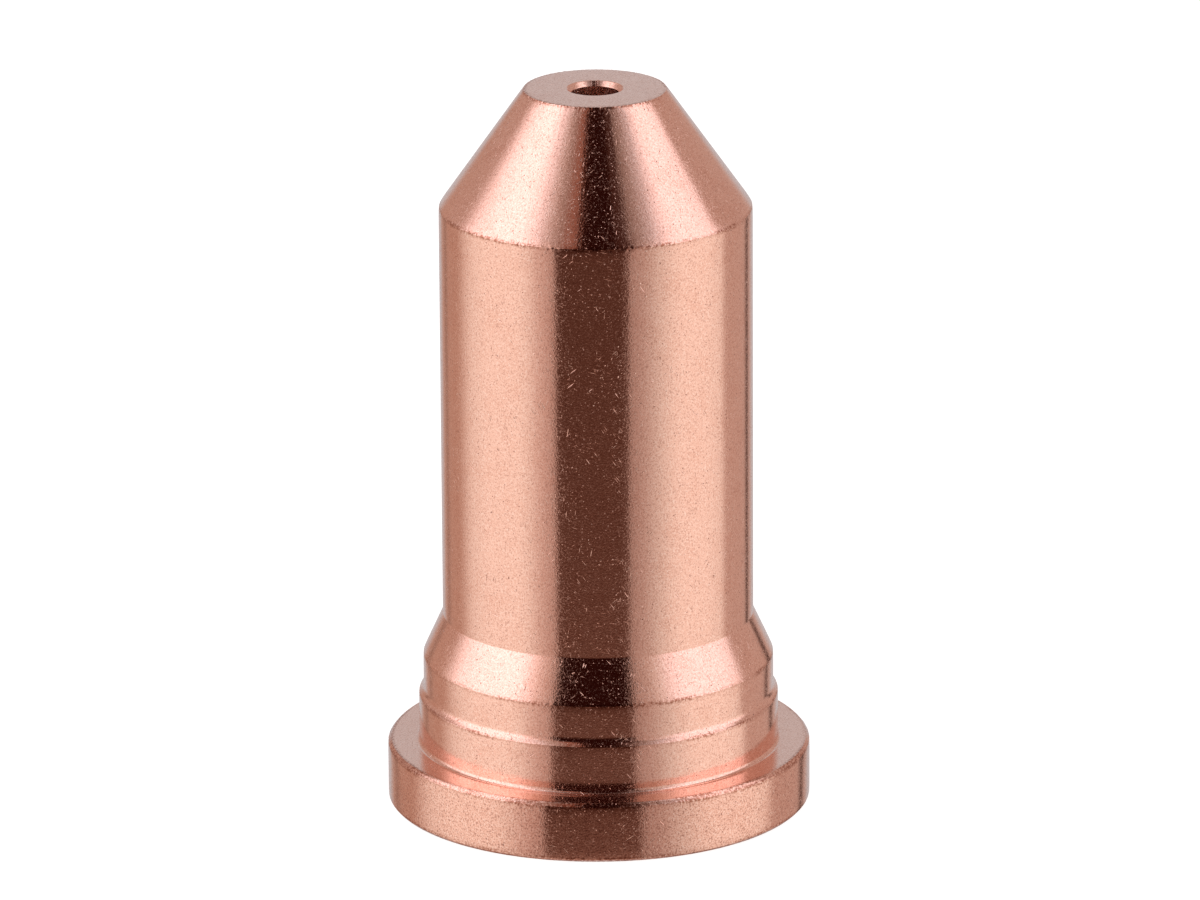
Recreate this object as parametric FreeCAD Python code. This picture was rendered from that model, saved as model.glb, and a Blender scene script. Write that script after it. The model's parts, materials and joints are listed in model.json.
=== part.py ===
"""Nozzle of a plasma cutting torch, long-reach pattern, turned from one copper bar.

A turned body with one axis of revolution. From the rear: a round flange, a
locating collar, the foot and the cone that lead up to the barrel, the long
straight barrel, and a conical nose that ends in a flat face with the orifice
in it. Inside: a seat for the gas distributor, the chamber round the electrode,
the cone that gathers the gas, and the straight orifice.

Millimetres. +Z is the axis, from the flange to the nose. The origin is the
centre of the flange's rear face.
"""
import FreeCAD, Part
import math
import os

# ---- driving dimensions ------------------------------------------------------
overall_length = 31.2

flange_diameter = 18.0
flange_thickness = 2.6
flange_front_bevel = 0.15       # 45 degree bevel on the flange's front edge
flange_rear_bevel = 0.12        # edge break all round the rear face

collar_diameter = 15.3          # locating collar, against the flange
collar_length = 2.05            # up to its front chamfer
collar_root_radius = 0.45       # tool radius where the collar meets the flange

foot_diameter = 14.9            # a 45 degree chamfer steps down to it from the collar
foot_length = 1.53              # straight land between that chamfer and the cone
rear_cone_half_angle = 24.7     # degrees, measured from the axis

barrel_diameter = 13.2

nose_face_diameter = 6.0
nose_cone_half_angle = 35.1     # degrees, measured from the axis

orifice_diameter = 2.0
orifice_land_length = 3.2       # straight part of the orifice
orifice_exit_chamfer = 0.2      # 45 degrees

chamber_diameter = 9.4          # clears the electrode by its gas gap
throat_cone_half_angle = 45.0   # degrees, from the chamber down to the orifice
throat_entry_radius = 1.0       # blends the chamber's wall into the throat cone

seat_diameter = 11.8            # counterbore for the gas distributor
seat_depth = 4.2
seat_lead_in = 0.4              # 45 degree lead-in at the rear mouth

# ---- derived values ----------------------------------------------------------
flange_radius = flange_diameter / 2
collar_radius = collar_diameter / 2
foot_radius = foot_diameter / 2
barrel_radius = barrel_diameter / 2
nose_face_radius = nose_face_diameter / 2
orifice_radius = orifice_diameter / 2
chamber_radius = chamber_diameter / 2
seat_radius = seat_diameter / 2


def cone_length(large_radius, small_radius, half_angle):
    """Axial length of a cone between two radii."""
    return (large_radius - small_radius) / math.tan(math.radians(half_angle))


collar_top = flange_thickness + collar_length
foot_bottom = collar_top + collar_radius - foot_radius
foot_top = foot_bottom + foot_length
barrel_bottom = foot_top + cone_length(foot_radius, barrel_radius, rear_cone_half_angle)
barrel_top = overall_length - cone_length(
    barrel_radius, nose_face_radius, nose_cone_half_angle)

orifice_top = overall_length - orifice_exit_chamfer
orifice_bottom = orifice_top - orifice_land_length
chamber_top = orifice_bottom - cone_length(
    chamber_radius, orifice_radius, throat_cone_half_angle)


def blend_points(before, corner, after, blend_radius):
    """Start, middle and end of the arc that rounds a corner of a section."""
    back = (before - corner).normalize()
    ahead = (after - corner).normalize()
    half_angle = back.getAngle(ahead) / 2
    inward = (back + ahead).normalize()
    reach = blend_radius / math.tan(half_angle)
    centre = corner + inward * (blend_radius / math.sin(half_angle))
    return corner + back * reach, centre - inward * blend_radius, corner + ahead * reach


def turned(section):
    """Solid turned about Z from a half section.

    The section is a closed run of (radius, height) corners. A third value is
    the radius of the arc that rounds that corner.
    """
    corners = [FreeCAD.Vector(corner[0], 0, corner[1]) for corner in section]
    edges = []
    stops = []
    for index, (corner, entry) in enumerate(zip(corners, section)):
        if len(entry) == 2:
            stops.append((corner, corner))
            continue
        after = corners[(index + 1) % len(corners)]
        start, middle, end = blend_points(corners[index - 1], corner, after, entry[2])
        edges.append(Part.Arc(start, middle, end).toShape())
        stops.append((start, end))
    for index, (start, _) in enumerate(stops):
        edges.append(Part.LineSegment(stops[index - 1][1], start).toShape())
    outline = Part.Wire(Part.__sortEdges__(edges))
    return Part.Face(outline).revolve(
        FreeCAD.Vector(0, 0, 0), FreeCAD.Vector(0, 0, 1), 360)


def turned_outside():
    """The bar as turned outside, from the flange up to the nose face."""
    return turned([
        (0, 0),
        (flange_radius - flange_rear_bevel, 0),
        (flange_radius, flange_rear_bevel),
        (flange_radius, flange_thickness - flange_front_bevel),
        (flange_radius - flange_front_bevel, flange_thickness),
        (collar_radius, flange_thickness, collar_root_radius),
        (collar_radius, collar_top),
        (foot_radius, foot_bottom),
        (foot_radius, foot_top),
        (barrel_radius, barrel_bottom),
        (barrel_radius, barrel_top),
        (nose_face_radius, overall_length),
        (0, overall_length),
    ])


def gas_passage():
    """The bored space: distributor seat, electrode chamber, throat cone and orifice."""
    return turned([
        (0, 0),
        (seat_radius + seat_lead_in, 0),
        (seat_radius, seat_lead_in),
        (seat_radius, seat_depth),
        (chamber_radius, seat_depth),
        (chamber_radius, chamber_top, throat_entry_radius),
        (orifice_radius, orifice_bottom),
        (orifice_radius, orifice_top),
        (orifice_radius + orifice_exit_chamfer, overall_length),
        (0, overall_length),
    ])


nozzle_body = turned_outside().cut(gas_passage())

os.makedirs("parts", exist_ok=True)
nozzle_body.exportStep("parts/nozzle_body.step")
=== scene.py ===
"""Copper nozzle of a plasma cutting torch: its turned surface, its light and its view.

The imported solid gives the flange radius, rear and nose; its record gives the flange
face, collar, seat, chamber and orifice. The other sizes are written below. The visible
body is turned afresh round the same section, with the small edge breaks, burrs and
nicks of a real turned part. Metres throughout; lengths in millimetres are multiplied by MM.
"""
import json
import math

import bpy
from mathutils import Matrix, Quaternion, Vector


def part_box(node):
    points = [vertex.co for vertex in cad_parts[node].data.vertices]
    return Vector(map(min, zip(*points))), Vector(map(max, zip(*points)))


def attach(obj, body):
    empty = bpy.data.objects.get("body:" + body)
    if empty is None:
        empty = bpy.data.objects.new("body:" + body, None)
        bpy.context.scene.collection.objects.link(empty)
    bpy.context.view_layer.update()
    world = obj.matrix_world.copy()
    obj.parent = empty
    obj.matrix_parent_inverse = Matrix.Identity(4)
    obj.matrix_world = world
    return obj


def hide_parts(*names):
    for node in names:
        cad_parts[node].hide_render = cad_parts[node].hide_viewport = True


MM = 0.001

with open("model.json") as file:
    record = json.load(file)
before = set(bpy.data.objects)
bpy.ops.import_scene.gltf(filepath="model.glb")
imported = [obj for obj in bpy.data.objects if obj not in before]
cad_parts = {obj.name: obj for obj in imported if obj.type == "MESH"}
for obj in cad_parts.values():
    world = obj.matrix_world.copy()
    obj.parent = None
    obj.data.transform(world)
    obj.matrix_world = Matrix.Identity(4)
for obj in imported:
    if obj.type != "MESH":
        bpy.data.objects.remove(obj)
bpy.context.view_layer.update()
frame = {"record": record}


# ---- sizes of the nozzle, from the frame -------------------------------------
mounts = {mount["name"]: mount for mount in frame["record"]["mounts"]}


def mount_radius(name):
    """Radius of a round mount, in metres."""
    return mounts[name]["dims"]["r_mm"] * MM


def mount_ends(name):
    """Lowest and highest height of a round mount's straight wall."""
    middle = mounts[name]["pos_m"][2]
    half = mounts[name]["dims"]["length_mm"] * MM / 2
    return middle - half, middle + half


low_corner, high_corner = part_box("nozzle_body")
FLANGE_RADIUS = (high_corner[0] - low_corner[0]) / 2
REAR = low_corner[2]
NOSE = high_corner[2]

FLANGE_TOP = mounts["flange_front_face"]["pos_m"][2]
COLLAR_RADIUS = mount_radius("locating_collar")
COLLAR_ROOT_TOP, COLLAR_TOP = mount_ends("locating_collar")
SEAT_RADIUS = mount_radius("distributor_seat")
SEAT_MOUTH, SEAT_FLOOR = mount_ends("distributor_seat")
CHAMBER_RADIUS = mount_radius("electrode_chamber")
CHAMBER_TOP = mount_ends("electrode_chamber")[1]
ORIFICE_RADIUS = mount_radius("orifice")
ORIFICE_BOTTOM, ORIFICE_TOP = mount_ends("orifice")

COLLAR_ROOT_RADIUS = (COLLAR_ROOT_TOP - FLANGE_TOP) / 3     # tighter than the solid's
ORIFICE_CHAMFER = NOSE - ORIFICE_TOP
SEAT_LEAD_IN = SEAT_MOUTH - REAR

# The remaining sizes of the section, as turned.
FLANGE_FRONT_BEVEL = 0.15 * MM
FLANGE_REAR_BEVEL = 0.12 * MM
FOOT_RADIUS = 7.45 * MM
FOOT_LENGTH = 1.53 * MM
REAR_CONE_HALF_ANGLE = math.radians(24.7)
BARREL_RADIUS = 6.6 * MM
NOSE_FACE_RADIUS = 3.0 * MM
NOSE_CONE_HALF_ANGLE = math.radians(35.1)
THROAT_ENTRY_RADIUS = 1.0 * MM

FOOT_BOTTOM = COLLAR_TOP + COLLAR_RADIUS - FOOT_RADIUS
FOOT_TOP = FOOT_BOTTOM + FOOT_LENGTH
BARREL_BOTTOM = FOOT_TOP + (FOOT_RADIUS - BARREL_RADIUS) / math.tan(REAR_CONE_HALF_ANGLE)
BARREL_TOP = NOSE - (BARREL_RADIUS - NOSE_FACE_RADIUS) / math.tan(NOSE_CONE_HALF_ANGLE)


# ---- helpers -----------------------------------------------------------------
def linear(hex_colour):
    """sRGB hex colour as linear red, green, blue and alpha."""
    channels = []
    for start in (0, 2, 4):
        value = int(hex_colour[start:start + 2], 16) / 255
        if value <= 0.04045:
            channels.append(value / 12.92)
        else:
            channels.append(((value + 0.055) / 1.055) ** 2.4)
    return (*channels, 1.0)


def add_node(tree, kind, inputs=None, **settings):
    """Add a node. A value that is a socket is linked, any other is set."""
    node = tree.nodes.new(kind)
    for name, value in settings.items():
        setattr(node, name, value)
    for name, value in (inputs or {}).items():
        if isinstance(value, bpy.types.NodeSocket):
            tree.links.new(value, node.inputs[name])
        else:
            node.inputs[name].default_value = value
    return node


# ---- section of the nozzle ---------------------------------------------------
# Each corner is (radius, height, edge break, edge wear). The break is the radius
# of the rounded edge. The wear is how far its burrs and nicks reach.
CRISP = 0.02 * MM
SOFT = 0.05 * MM
STEP_FILLET = 0.40 * MM
SECTION = [
    (SEAT_RADIUS + SEAT_LEAD_IN, REAR, SOFT, 0.0),
    (FLANGE_RADIUS - FLANGE_REAR_BEVEL, REAR, SOFT, 0.01 * MM),
    (FLANGE_RADIUS, REAR + FLANGE_REAR_BEVEL, SOFT, 0.02 * MM),
    (FLANGE_RADIUS, FLANGE_TOP - FLANGE_FRONT_BEVEL, CRISP, 0.03 * MM),
    (FLANGE_RADIUS - FLANGE_FRONT_BEVEL, FLANGE_TOP, CRISP, 0.008 * MM),
    (COLLAR_RADIUS, FLANGE_TOP, COLLAR_ROOT_RADIUS, 0.0),
    (COLLAR_RADIUS, COLLAR_TOP, CRISP, 0.012 * MM),
    (FOOT_RADIUS, FOOT_BOTTOM, STEP_FILLET, 0.0),
    (FOOT_RADIUS, FOOT_TOP, CRISP, 0.02 * MM),
    (BARREL_RADIUS, BARREL_BOTTOM, SOFT, 0.0),
    (BARREL_RADIUS, BARREL_TOP, CRISP, 0.035 * MM),
    (NOSE_FACE_RADIUS, NOSE, CRISP, 0.035 * MM),
    (ORIFICE_RADIUS + ORIFICE_CHAMFER, NOSE, SOFT, 0.0),
    (ORIFICE_RADIUS, ORIFICE_TOP, CRISP, 0.0),
    (ORIFICE_RADIUS, ORIFICE_BOTTOM, CRISP, 0.0),
    (CHAMBER_RADIUS, CHAMBER_TOP, THROAT_ENTRY_RADIUS, 0.0),
    (CHAMBER_RADIUS, SEAT_FLOOR, SOFT, 0.0),
    (SEAT_RADIUS, SEAT_FLOOR, SOFT, 0.0),
    (SEAT_RADIUS, SEAT_MOUTH, SOFT, 0.0),
]
WORN_STEPS = 3                   # facets of a small rounded edge that wears
CLEAN_STEPS = 2
FILLET_STEPS = 8                 # facets of a radius that shows as one
FILLET_FROM = 0.2 * MM
NEAR_EDGE = (0.03 * MM, 0.08 * MM, 0.18 * MM, 0.4 * MM)
WEAR_REACH = 0.25 * MM           # how far from an edge its burrs and nicks fade out
LINE_REACH = 0.13 * MM           # and its brown line, partly painted shade


def section_points():
    """Points round the section: (place, outward direction, edge wear, edge line)."""
    points = []
    corners = [Vector((radius, height)) for radius, height, _, _ in SECTION]
    for index, (corner, (_, _, edge_break, wear)) in enumerate(zip(corners, SECTION)):
        before = corners[index - 1]
        after = corners[(index + 1) % len(corners)]
        back = (before - corner).normalized()
        ahead = (after - corner).normalized()
        half_angle = math.acos(max(-1.0, min(1.0, back.dot(ahead)))) / 2
        inward = (back + ahead).normalized()
        convex = back.x * ahead.y - back.y * ahead.x < 0
        outward = -inward if convex else inward
        reach = edge_break / math.tan(half_angle)
        centre = corner + inward * (edge_break / math.sin(half_angle))
        start = corner + back * reach
        end = corner + ahead * reach

        offsets = NEAR_EDGE if wear else NEAR_EDGE[:1]
        room_back = (before - corner).length * 0.45
        room_ahead = (after - corner).length * 0.45
        for offset in reversed(offsets):
            if reach + offset < room_back:
                fade = max(0.0, 1 - offset / WEAR_REACH)
                place = corner + back * (reach + offset)
                line = max(0.0, 1 - offset / LINE_REACH) if wear else 0.0
                points.append((place, outward, wear * fade, line))
        steps = WORN_STEPS if wear else CLEAN_STEPS
        if edge_break > FILLET_FROM:
            steps = FILLET_STEPS
        start_angle = math.atan2(start.y - centre.y, start.x - centre.x)
        end_angle = math.atan2(end.y - centre.y, end.x - centre.x)
        sweep = (end_angle - start_angle + math.pi) % math.tau - math.pi
        for step in range(steps + 1):
            angle = start_angle + sweep * step / steps
            place = centre + Vector((math.cos(angle), math.sin(angle))) * edge_break
            points.append((place, outward, wear, 1.0 if wear else 0.0))
        for offset in offsets:
            if reach + offset < room_ahead:
                fade = max(0.0, 1 - offset / WEAR_REACH)
                place = corner + ahead * (reach + offset)
                line = max(0.0, 1 - offset / LINE_REACH) if wear else 0.0
                points.append((place, outward, wear * fade, line))
    return points


def section_mesh():
    """The section as a closed line, with what the lathe tree needs at each point."""
    points = section_points()
    mesh = bpy.data.meshes.new("nozzle_section")
    mesh.from_pydata(
        [(place.x, 0, place.y) for place, _, _, _ in points],
        [(index, (index + 1) % len(points)) for index in range(len(points))],
        [])
    mesh.attributes.new("outward", "FLOAT_VECTOR", "POINT")
    mesh.attributes.new("wear", "FLOAT", "POINT")
    mesh.attributes.new("edge_line", "FLOAT", "POINT")
    for index, (_, direction, amount, line) in enumerate(points):
        mesh.attributes["outward"].data[index].vector = (direction.x, 0, direction.y)
        mesh.attributes["wear"].data[index].value = amount
        mesh.attributes["edge_line"].data[index].value = line
    return mesh


# ---- the lathe, as geometry nodes ---------------------------------------------
STEPS_ROUND = 640
NICK_LENGTH = 0.35 * MM
NICK_SHARE = 0.40                # noise above this cuts a nick
BURR_LENGTH = 0.12 * MM


def lathe_tree(material):
    """Geometry nodes that turn a closed section about Z and wear its edges."""
    tree = bpy.data.node_groups.new("turn_section", "GeometryNodeTree")
    face = tree.interface
    face.new_socket("Section", in_out="INPUT", socket_type="NodeSocketGeometry")
    face.new_socket("Steps round", in_out="INPUT", socket_type="NodeSocketInt")
    face.new_socket("Burr length", in_out="INPUT", socket_type="NodeSocketFloat")
    face.new_socket("Nick length", in_out="INPUT", socket_type="NodeSocketFloat")
    face.new_socket("Seed", in_out="INPUT", socket_type="NodeSocketFloat")
    face.new_socket("Body", in_out="OUTPUT", socket_type="NodeSocketGeometry")

    given = add_node(tree, "NodeGroupInput").outputs

    def maths(operation, first, second=0.0, third=0.0):
        return add_node(
            tree, "ShaderNodeMath", {0: first, 1: second, 2: third},
            operation=operation).outputs[0]

    def vector_maths(operation, first, second, socket="Vector"):
        name = "Scale" if operation == "SCALE" else 1
        return add_node(
            tree, "ShaderNodeVectorMath", {0: first, name: second},
            operation=operation).outputs[socket]

    # One grid column for each step round the axis, one row for each section point.
    # A last column and row close the ring, and the merge joins them to the first.
    count = add_node(
        tree, "GeometryNodeAttributeDomainSize", {"Geometry": given["Section"]}
    ).outputs["Point Count"]
    rows = maths("ADD", count, 1.0)
    columns = maths("ADD", given["Steps round"], 1.0)
    grid = add_node(
        tree, "GeometryNodeMeshGrid", {"Vertices X": columns, "Vertices Y": rows})
    index = add_node(tree, "GeometryNodeInputIndex").outputs[0]
    column = maths("FLOOR", maths("DIVIDE", maths("ADD", index, 0.5), rows))
    row = maths("SUBTRACT", index, maths("MULTIPLY", column, rows))
    section_index = maths("ROUND", maths("MODULO", row, count))

    def of_section(kind, field):
        return add_node(
            tree, "GeometryNodeSampleIndex",
            {"Geometry": given["Section"], "Value": field, "Index": section_index},
            data_type=kind, domain="POINT").outputs["Value"]

    def named(kind, name):
        return add_node(
            tree, "GeometryNodeInputNamedAttribute", {"Name": name},
            data_type=kind).outputs["Attribute"]

    place = of_section("FLOAT_VECTOR", add_node(tree, "GeometryNodeInputPosition").outputs[0])
    outward = of_section("FLOAT_VECTOR", named("FLOAT_VECTOR", "outward"))
    wear = of_section("FLOAT", named("FLOAT", "wear"))
    edge_line = of_section("FLOAT", named("FLOAT", "edge_line"))

    angle = maths("MULTIPLY", maths("DIVIDE", column, given["Steps round"]), math.tau)

    def turned(vector):
        return add_node(
            tree, "ShaderNodeVectorRotate", {"Vector": vector, "Angle": angle},
            rotation_type="Z_AXIS").outputs[0]

    turned_place = turned(place)

    def noise(length, detail, seed_step):
        sample = add_node(
            tree, "ShaderNodeTexNoise",
            {"Vector": vector_maths("DIVIDE", turned_place, add_node(
                tree, "ShaderNodeCombineXYZ",
                {"X": length, "Y": length, "Z": length}).outputs[0]),
             "W": maths("ADD", given["Seed"], seed_step),
             "Scale": 1.0, "Detail": detail, "Roughness": 0.6},
            noise_dimensions="4D")
        return sample.outputs[0]

    # Nicks cut inwards where a slow noise is high. Burrs are the finer unevenness
    # of the cut edge, also taken inwards, so nothing grows past the real size.
    nick = add_node(
        tree, "ShaderNodeMapRange",
        {"Value": noise(given["Nick length"], 2.0, 0.0),
         "From Min": 1 - NICK_SHARE, "From Max": 0.85, "To Min": 0.0, "To Max": 1.6},
        interpolation_type="SMOOTHSTEP").outputs[0]
    burr = noise(given["Burr length"], 1.0, 7.0)
    depth = maths("MULTIPLY", maths("ADD", nick, burr), wear)
    shift = turned(vector_maths("SCALE", outward, maths("MULTIPLY", depth, -1.0)))
    final_place = vector_maths("ADD", turned_place, shift)

    shaped = add_node(
        tree, "GeometryNodeSetPosition",
        {"Geometry": grid.outputs["Mesh"], "Position": final_place}).outputs[0]
    # The edge line goes to the shader, which paints a brown line along it: partly wear, partly
    # painted shade.
    shaped = add_node(
        tree, "GeometryNodeStoreNamedAttribute",
        {"Geometry": shaped, "Name": "edge_wear_and_shade", "Value": edge_line},
        data_type="FLOAT", domain="POINT").outputs[0]
    shaped = add_node(
        tree, "GeometryNodeStoreNamedAttribute",
        {"Geometry": shaped, "Name": "UVMap", "Value": grid.outputs["UV Map"]},
        data_type="FLOAT2", domain="CORNER").outputs[0]
    closed = add_node(
        tree, "GeometryNodeMergeByDistance",
        {"Geometry": shaped, "Distance": 0.0005 * MM}).outputs[0]
    smooth = add_node(tree, "GeometryNodeSetShadeSmooth", {"Geometry": closed}).outputs[0]
    solid = add_node(
        tree, "GeometryNodeRealizeInstances", {"Geometry": smooth}).outputs[0]
    dressed = add_node(
        tree, "GeometryNodeSetMaterial", {"Geometry": solid, "Material": material}).outputs[0]
    add_node(tree, "NodeGroupOutput", {"Body": dressed})
    return tree


def turned_body(name, material):
    """The visible nozzle as a plain mesh, made by the lathe tree."""
    lathe = bpy.data.objects.new(name, section_mesh())
    bpy.context.scene.collection.objects.link(lathe)
    tree = lathe_tree(material)
    modifier = lathe.modifiers.new("turn", "NODES")
    modifier.node_group = tree
    socket = {
        item.name: item.identifier for item in tree.interface.items_tree
        if item.in_out == "INPUT"
    }
    modifier[socket["Steps round"]] = STEPS_ROUND
    modifier[socket["Burr length"]] = BURR_LENGTH
    modifier[socket["Nick length"]] = NICK_LENGTH
    modifier[socket["Seed"]] = LATHE_SEED
    graph = bpy.context.evaluated_depsgraph_get()
    mesh = bpy.data.meshes.new_from_object(lathe.evaluated_get(graph))
    lathe.modifiers.remove(modifier)
    lathe.data = mesh
    return lathe


# ---- turned copper --------------------------------------------------------------
COPPER = "F8CEBE"                # bright turned copper, pink where light falls on it
BURNISHED = "FFE2D6"             # the lightest grain
OXIDE = "7A4234"                 # brown floor of a pit, and of the darkest grain
EDGE_WEAR_AND_SHADE = "9C5B40"             # orange-brown line along a burred edge: partly wear, partly painted shade on the edge break
BLUSH = "E8B29E"                 # redder clouds where the copper has begun to tarnish

GRAIN_MM = 0.07                  # matt grain left by tumbling the finished part
GRAIN_DEPTH_MM = 0.0032
GRAIN_DARK = 0.34                # how far the darkest grain goes towards oxide
GRAIN_LIGHT = 0.9                # and the lightest towards burnished
SATIN = (0.085, 0.28)            # roughness of the smooth and of the matt grain
BORED_ROUGHER = 0.22
ORIFICE_ROUGHER = 0.10
PIT_MM = 0.10
PIT_DEPTH_MM = 0.008
FLECK_MM = 0.065                 # steep little marks that flash against the dark
FLECK_DEPTH_MM = 0.010
FIBRE_MM = (0.045, 0.50)         # width and length of the fine stray scratches
FIBRE_DEPTH_MM = 0.010
FIBRE_WAYS = (15, 55, 100, 140)  # degrees, the ways the scratches lie
SCUFF_MM = 1.6                   # size of the patches that scratches keep to
TOOL_RING_MM = 0.06
TOOL_RING_DEPTH_MM = 0.0008
BLUSH_MM = 0.9


def turned_copper():
    """Satin turned copper: matt grain, pits, flecks, stray scratches, tool rings."""
    material = bpy.data.materials.new("satin_turned_copper")
    material.use_nodes = True
    tree = material.node_tree
    tree.nodes.clear()

    def maths(operation, first, second=0.0, third=0.0):
        return add_node(
            tree, "ShaderNodeMath", {0: first, 1: second, 2: third},
            operation=operation).outputs[0]

    def fade(value, low, high, low_out=0.0, high_out=1.0):
        return add_node(
            tree, "ShaderNodeMapRange",
            {"Value": value, "From Min": low, "From Max": high,
             "To Min": low_out, "To Max": high_out},
            interpolation_type="SMOOTHSTEP").outputs[0]

    def blend(amount, first, second, blend_type="MIX"):
        return add_node(
            tree, "ShaderNodeMix", {0: amount, 6: first, 7: second},
            data_type="RGBA", blend_type=blend_type).outputs[2]

    place = add_node(tree, "ShaderNodeTexCoord").outputs["Object"]
    place_mm = add_node(
        tree, "ShaderNodeVectorMath", {0: place, "Scale": 1 / MM},
        operation="SCALE").outputs[0]

    def noise(size_mm, detail=0.0, at=place_mm, shift=0.0):
        return add_node(
            tree, "ShaderNodeTexNoise",
            {"Vector": at, "W": shift, "Scale": 1 / size_mm, "Detail": detail,
             "Roughness": 0.5},
            noise_dimensions="4D").outputs[0]

    # Grain: even and fine. Its matt specks pull a little light into dark reflections.
    grain = noise(GRAIN_MM, detail=1.0)

    # Pits: small, sparse and dark.
    pits = fade(noise(PIT_MM, detail=1.0, shift=3.0), 0.30, 0.24)

    # Flecks: small steep marks, sparse, with more of them in some patches.
    patches = noise(SCUFF_MM, detail=1.0, shift=5.0)
    flecks = fade(noise(FLECK_MM, shift=7.0), fade(patches, 0.35, 0.65, 0.80, 0.70), 0.92)

    # Scratches: noise drawn out along a few ways over the surface, kept in patches.
    parts = add_node(tree, "ShaderNodeSeparateXYZ", {0: place_mm}).outputs
    around = maths("MULTIPLY", maths("ARCTAN2", parts[0], parts[1]), BARREL_RADIUS / MM)
    radius = maths("SQRT", maths("ADD", maths("POWER", parts[0], 2.0),
                                 maths("POWER", parts[1], 2.0)))
    along = maths("SUBTRACT", parts[2], radius)
    width, length = FIBRE_MM
    fibres = 0.0
    for way, degrees in enumerate(FIBRE_WAYS):
        lean = math.radians(degrees)
        ahead = maths("ADD", maths("MULTIPLY", around, math.cos(lean)),
                      maths("MULTIPLY", along, math.sin(lean)))
        aside = maths("SUBTRACT", maths("MULTIPLY", along, math.cos(lean)),
                      maths("MULTIPLY", around, math.sin(lean)))
        drawn = add_node(
            tree, "ShaderNodeCombineXYZ",
            {"X": maths("DIVIDE", ahead, length), "Y": maths("DIVIDE", aside, width),
             "Z": way * 17.0}).outputs[0]
        kept = fade(noise(SCUFF_MM, detail=1.0, shift=20.0 + way), 0.44, 0.62, 0.86, 0.70)
        fibres = maths("ADD", fibres, fade(noise(1.0, at=drawn), kept, 0.92))

    # Tool rings: unevenness round the axis, fine along the section.
    ring_place = add_node(
        tree, "ShaderNodeCombineXYZ",
        {"X": maths("DIVIDE", radius, TOOL_RING_MM),
         "Y": maths("DIVIDE", parts[2], TOOL_RING_MM), "Z": 0.0}).outputs[0]
    rings = noise(1.0, detail=2.0, at=ring_place)

    height = maths("MULTIPLY", grain, GRAIN_DEPTH_MM)
    height = maths("SUBTRACT", height, maths("MULTIPLY", pits, PIT_DEPTH_MM))
    height = maths("ADD", height, maths("MULTIPLY", flecks, FLECK_DEPTH_MM))
    height = maths("SUBTRACT", height, maths("MULTIPLY", fibres, FIBRE_DEPTH_MM))
    height = maths("ADD", height, maths("MULTIPLY", rings, TOOL_RING_DEPTH_MM))
    relief = add_node(
        tree, "ShaderNodeBump", {"Height": height, "Distance": MM, "Strength": 1.0})

    # Colour: clean copper, redder clouds, darker grain, oxide in pits, brown edges that are
    # partly painted shade.
    blush = fade(noise(BLUSH_MM, detail=2.0, shift=11.0), 0.45, 0.75, 0.0, 0.30)
    colour = blend(blush, linear(COPPER), linear(BLUSH))
    # Redder, with darker grain, at the flange's outer rim.
    flange_rim = maths("GREATER_THAN", radius, (COLLAR_RADIUS + FLANGE_RADIUS) / 2 / MM + 0.5)
    colour = blend(maths("MULTIPLY", flange_rim, 0.30), colour, linear(BLUSH))
    darkest = maths("ADD", GRAIN_DARK, maths("MULTIPLY", flange_rim, 0.22))
    dark = maths("MULTIPLY", fade(grain, 0.50, 0.28), darkest)
    colour = blend(dark, colour, linear(OXIDE))
    colour = blend(fade(grain, 0.50, 0.72, 0.0, GRAIN_LIGHT), colour, linear(BURNISHED))
    colour = blend(maths("MULTIPLY", pits, 0.7), colour, linear(OXIDE))
    # Ragged orange-brown line along the worn edges: partly wear, partly painted shade on the edge
    # breaks.
    wear_and_shade_line = add_node(tree, "ShaderNodeAttribute", attribute_name="edge_wear_and_shade").outputs["Fac"]
    ragged = fade(noise(0.10, detail=2.0, shift=13.0), 0.38, 0.60)
    ragged = maths("MULTIPLY", ragged, fade(noise(1.3, shift=15.0), 0.35, 0.60, 0.35, 1.0))
    wear_and_shade_line = maths("MULTIPLY", fade(wear_and_shade_line, 0.1, 0.6), ragged)
    colour = blend(maths("MULTIPLY", wear_and_shade_line, 0.8), colour, linear(EDGE_WEAR_AND_SHADE))

    matt = fade(noise(GRAIN_MM, detail=1.0, shift=17.0), 0.45, 0.72, *SATIN)
    # The bored passage keeps a rougher, less burnished surface.
    bored_below = maths("MULTIPLY", maths("LESS_THAN", radius, SEAT_RADIUS / MM + 0.45),
                        maths("LESS_THAN", parts[2], CHAMBER_TOP / MM))
    orifice = maths("LESS_THAN", radius, (ORIFICE_RADIUS + ORIFICE_CHAMFER) / MM + 0.01)
    matt = maths("ADD", matt, maths("MULTIPLY", bored_below, BORED_ROUGHER))
    matt = maths("ADD", matt, maths("MULTIPLY", orifice, ORIFICE_ROUGHER))
    shader = add_node(
        tree, "ShaderNodeBsdfPrincipled",
        {"Base Color": colour, "Metallic": 1.0, "Roughness": matt,
         "Normal": relief.outputs[0]})
    add_node(tree, "ShaderNodeOutputMaterial", {"Surface": shader.outputs[0]})
    return material


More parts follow.
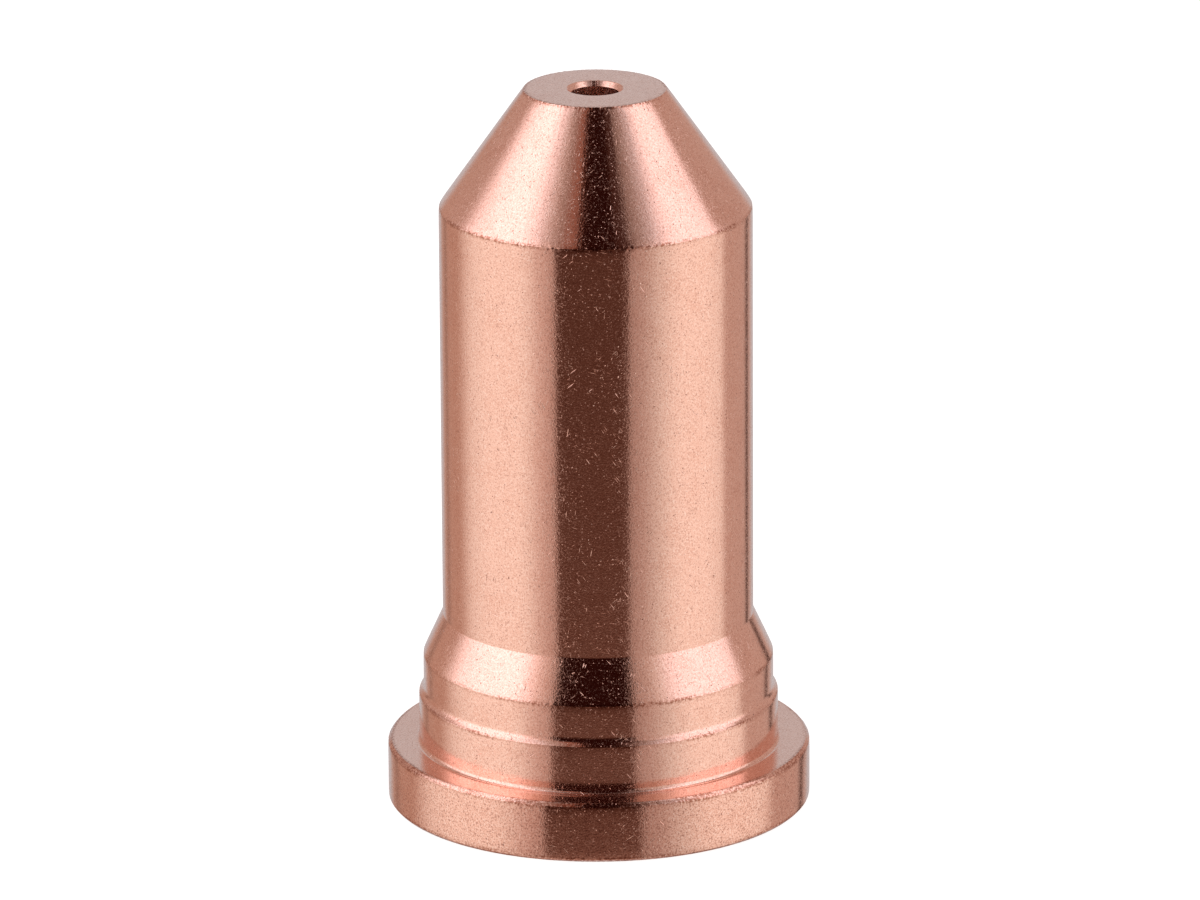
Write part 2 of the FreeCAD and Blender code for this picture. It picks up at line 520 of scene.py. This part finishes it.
# ---- studio ----------------------------------------------------------------------
def studio_floor():
    """Plain white floor that keeps the nozzle's soft shadow, and is clear from below."""
    half = 1.5
    mesh = bpy.data.meshes.new("studio_floor")
    mesh.from_pydata(
        [(-half, -half, REAR), (half, -half, REAR), (half, half, REAR), (-half, half, REAR)],
        [], [(0, 1, 2, 3)])
    floor = bpy.data.objects.new("studio_floor", mesh)
    bpy.context.scene.collection.objects.link(floor)
    material = bpy.data.materials.new("white_studio_board")
    material.use_nodes = True
    tree = material.node_tree
    tree.nodes.clear()
    board = add_node(tree, "ShaderNodeBsdfDiffuse", {"Color": linear("B0B0B0")})
    glow = add_node(
        tree, "ShaderNodeEmission", {"Color": (1.0, 1.0, 1.0, 1.0), "Strength": 0.88})
    lit = add_node(
        tree, "ShaderNodeAddShader", {0: board.outputs[0], 1: glow.outputs[0]})
    clear = add_node(tree, "ShaderNodeBsdfTransparent")
    below = add_node(tree, "ShaderNodeNewGeometry").outputs["Backfacing"]
    both = add_node(
        tree, "ShaderNodeMixShader", {0: below, 1: lit.outputs[0], 2: clear.outputs[0]})
    add_node(tree, "ShaderNodeOutputMaterial", {"Surface": both.outputs[0]})
    mesh.materials.append(material)
    floor.visible_glossy = False


def studio_world():
    """White surroundings for the camera; for metal, two soft boxes in a dim room."""
    world = bpy.data.worlds.new("studio")
    bpy.context.scene.world = world
    world.use_nodes = True
    tree = world.node_tree
    tree.nodes.clear()

    def maths(operation, first, second=0.0, third=0.0):
        return add_node(
            tree, "ShaderNodeMath", {0: first, 1: second, 2: third},
            operation=operation).outputs[0]

    def fade(value, low, high, low_out=0.0, high_out=1.0):
        return add_node(
            tree, "ShaderNodeMapRange",
            {"Value": value, "From Min": low, "From Max": high,
             "To Min": low_out, "To Max": high_out},
            interpolation_type="SMOOTHSTEP").outputs[0]

    def blend(amount, first, second):
        return add_node(
            tree, "ShaderNodeMix", {0: amount, 6: first, 7: second},
            data_type="RGBA").outputs[2]

    direction = add_node(tree, "ShaderNodeTexCoord").outputs["Generated"]
    parts = add_node(tree, "ShaderNodeSeparateXYZ", {0: direction}).outputs
    # Angles in degrees. Azimuth 0 is towards the front (-Y), positive to the right.
    azimuth = maths("DEGREES", maths("ARCTAN2", parts[0], maths("MULTIPLY", parts[1], -1.0)))
    elevation = maths("DEGREES", maths("ARCSINE", parts[2]))
    turn = maths("ABSOLUTE", azimuth)
    right = maths("GREATER_THAN", azimuth, 0.0)

    def by_side(left_value, right_value):
        return fade(right, 0.0, 1.0, left_value, right_value)

    # Front room: dim and warm, with the table brighter below and darkness overhead.
    room = blend(fade(elevation, -34.0, -19.0), (0.46, 0.285, 0.227, 1), (0.14, 0.0692, 0.051, 1))
    room = blend(fade(elevation, -20.5, -16.5), room, (0.088, 0.0372, 0.0251, 1))
    room = blend(fade(elevation, -17.0, 4.0), room, (0.02, 0.00346, 0.00235, 1))
    # The left box's folded flap shows above as a dull strip in front of it.
    front = by_side(30.5, fade(elevation, 26.0, 46.0, 23.5, 31.5))
    past_front = maths("SUBTRACT", turn, front)
    flap = maths("MULTIPLY", fade(past_front, -15.0, -11.5), fade(elevation, 36.0, 44.0))
    room = blend(maths("MULTIPLY", flap, by_side(1.0, 0.12)), room, (0.3, 0.134, 0.098, 1))
    # Soft boxes, one on each side: a sharp front edge, then brighter towards the back.
    ramp = fade(past_front, 0.0, by_side(32.0, 46.0))
    across = maths("ADD", by_side(0.53, 0.42), maths("MULTIPLY", ramp, by_side(0.49, 0.60)))
    level = fade(elevation, -24.0, -20.0, 0.90, 1.04)
    raised = maths("MULTIPLY", fade(elevation, -10.0, 20.0), fade(turn, 32.0, 62.0))
    level = maths("ADD", level, maths("MULTIPLY", raised, by_side(0.60, 0.36)))
    level = maths("MULTIPLY", level, fade(turn, 86.0, 104.0, 1.0, 0.90))
    # Overhead the boxes begin dimmer, and end at a top edge.
    dimmer = maths("MULTIPLY", fade(elevation, 34.0, 52.0), fade(turn, 84.0, 52.0))
    level = maths("MULTIPLY", level, fade(dimmer, 0.0, 1.0, 1.0, 0.62))
    level = maths("MULTIPLY", level, fade(elevation, 60.0, 78.0, 1.0, 0.08))
    box = maths("MULTIPLY", across, level)
    warmth = fade(past_front, 0.0, 30.0)
    box_colour = add_node(
        tree, "ShaderNodeCombineColor",
        {0: box, 1: maths("MULTIPLY", box, fade(warmth, 0.0, 1.0, 0.71, 0.865)),
         2: maths("MULTIPLY", maths("MULTIPLY", box, fade(warmth, 0.0, 1.0, 0.62, 0.784)),
                  fade(raised, 0.0, 1.0, 1.0, 1.12))}).outputs[0]
    softness = fade(elevation, 10.0, 50.0, 1.5, 4.5)
    light = blend(fade(maths("DIVIDE", past_front, softness), -1.0, 1.0), room, box_colour)
    # Behind the boxes: the dim wall, a dark gap, then the pale backdrop.
    wall = blend(right, (0.51, 0.32, 0.251, 1), (0.56, 0.394, 0.337, 1))
    wall = blend(fade(elevation, -5.0, 20.0), wall, (0.53, 0.372, 0.321, 1))
    light = blend(fade(turn, by_side(101.0, 103.0), by_side(126.0, 111.0)), light, wall)
    gap = maths("MULTIPLY", fade(turn, 141.0, 144.0), fade(turn, 151.0, 148.0))
    gap = maths("MULTIPLY", gap, fade(elevation, 2.0, -3.0))
    gap = maths("MULTIPLY", gap, by_side(0.35, 0.9))
    light = blend(gap, light, (0.06, 0.0259, 0.0196, 1))
    backdrop = fade(turn, 152.0, 168.0)
    light = blend(backdrop, light, linear("C8C6C8"))

    # White behind everything for the camera and through anything clear. Metal shows
    # the same backdrop where it really stands, behind, at the light that reaches it.
    path = add_node(tree, "ShaderNodeLightPath").outputs
    seen = maths("MAXIMUM", path["Is Camera Ray"], path["Is Transmission Ray"])
    mirrored = maths("MULTIPLY", path["Is Glossy Ray"], backdrop)
    light = blend(mirrored, light, linear("C8C6C8"))
    studio = add_node(tree, "ShaderNodeBackground", {"Color": light, "Strength": 1.0})
    white = add_node(
        tree, "ShaderNodeBackground", {"Color": (1.0, 1.0, 1.0, 1.0), "Strength": 1.0})
    shown = add_node(
        tree, "ShaderNodeMixShader", {0: seen, 1: studio.outputs[0], 2: white.outputs[0]})
    add_node(tree, "ShaderNodeOutputWorld", {"Surface": shown.outputs[0]})


CAMERA_DISTANCE = 413.7 * MM
CAMERA_ELEVATION = math.radians(17.55)
CAMERA_ROLL = math.radians(-0.34)
CAMERA_ASIDE = 0.122 * MM        # the camera stands this far to the right of the axis
AIM_HEIGHT = 15.31 * MM
FOCAL_LENGTH = 293.25            # with a 36 mm wide sensor
SENSOR_WIDTH = 36.0


def product_camera():
    """Long lens, a little above the nozzle, which leans with the small roll."""
    data = bpy.data.cameras.new("product_camera")
    data.sensor_width = SENSOR_WIDTH
    data.lens = FOCAL_LENGTH
    data.clip_start = 0.01
    data.clip_end = 10.0
    camera = bpy.data.objects.new("product_camera", data)
    bpy.context.scene.collection.objects.link(camera)
    aim = Vector((CAMERA_ASIDE, 0, REAR + AIM_HEIGHT))
    back = Vector((0, -math.cos(CAMERA_ELEVATION), math.sin(CAMERA_ELEVATION)))
    camera.location = aim + back * CAMERA_DISTANCE
    level = back.to_track_quat("Z", "Y")
    camera.rotation_mode = "QUATERNION"
    camera.rotation_quaternion = level @ Quaternion((0, 0, 1), CAMERA_ROLL)
    bpy.context.scene.camera = camera


# ---- making ----------------------------------------------------------------------
LATHE_SEED = 3.0

bpy.context.scene.view_settings.view_transform = "Standard"
product_camera()
studio_world()
studio_floor()

nozzle = turned_body("turned_nozzle", turned_copper())
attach(nozzle, "root")
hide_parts("nozzle_body")
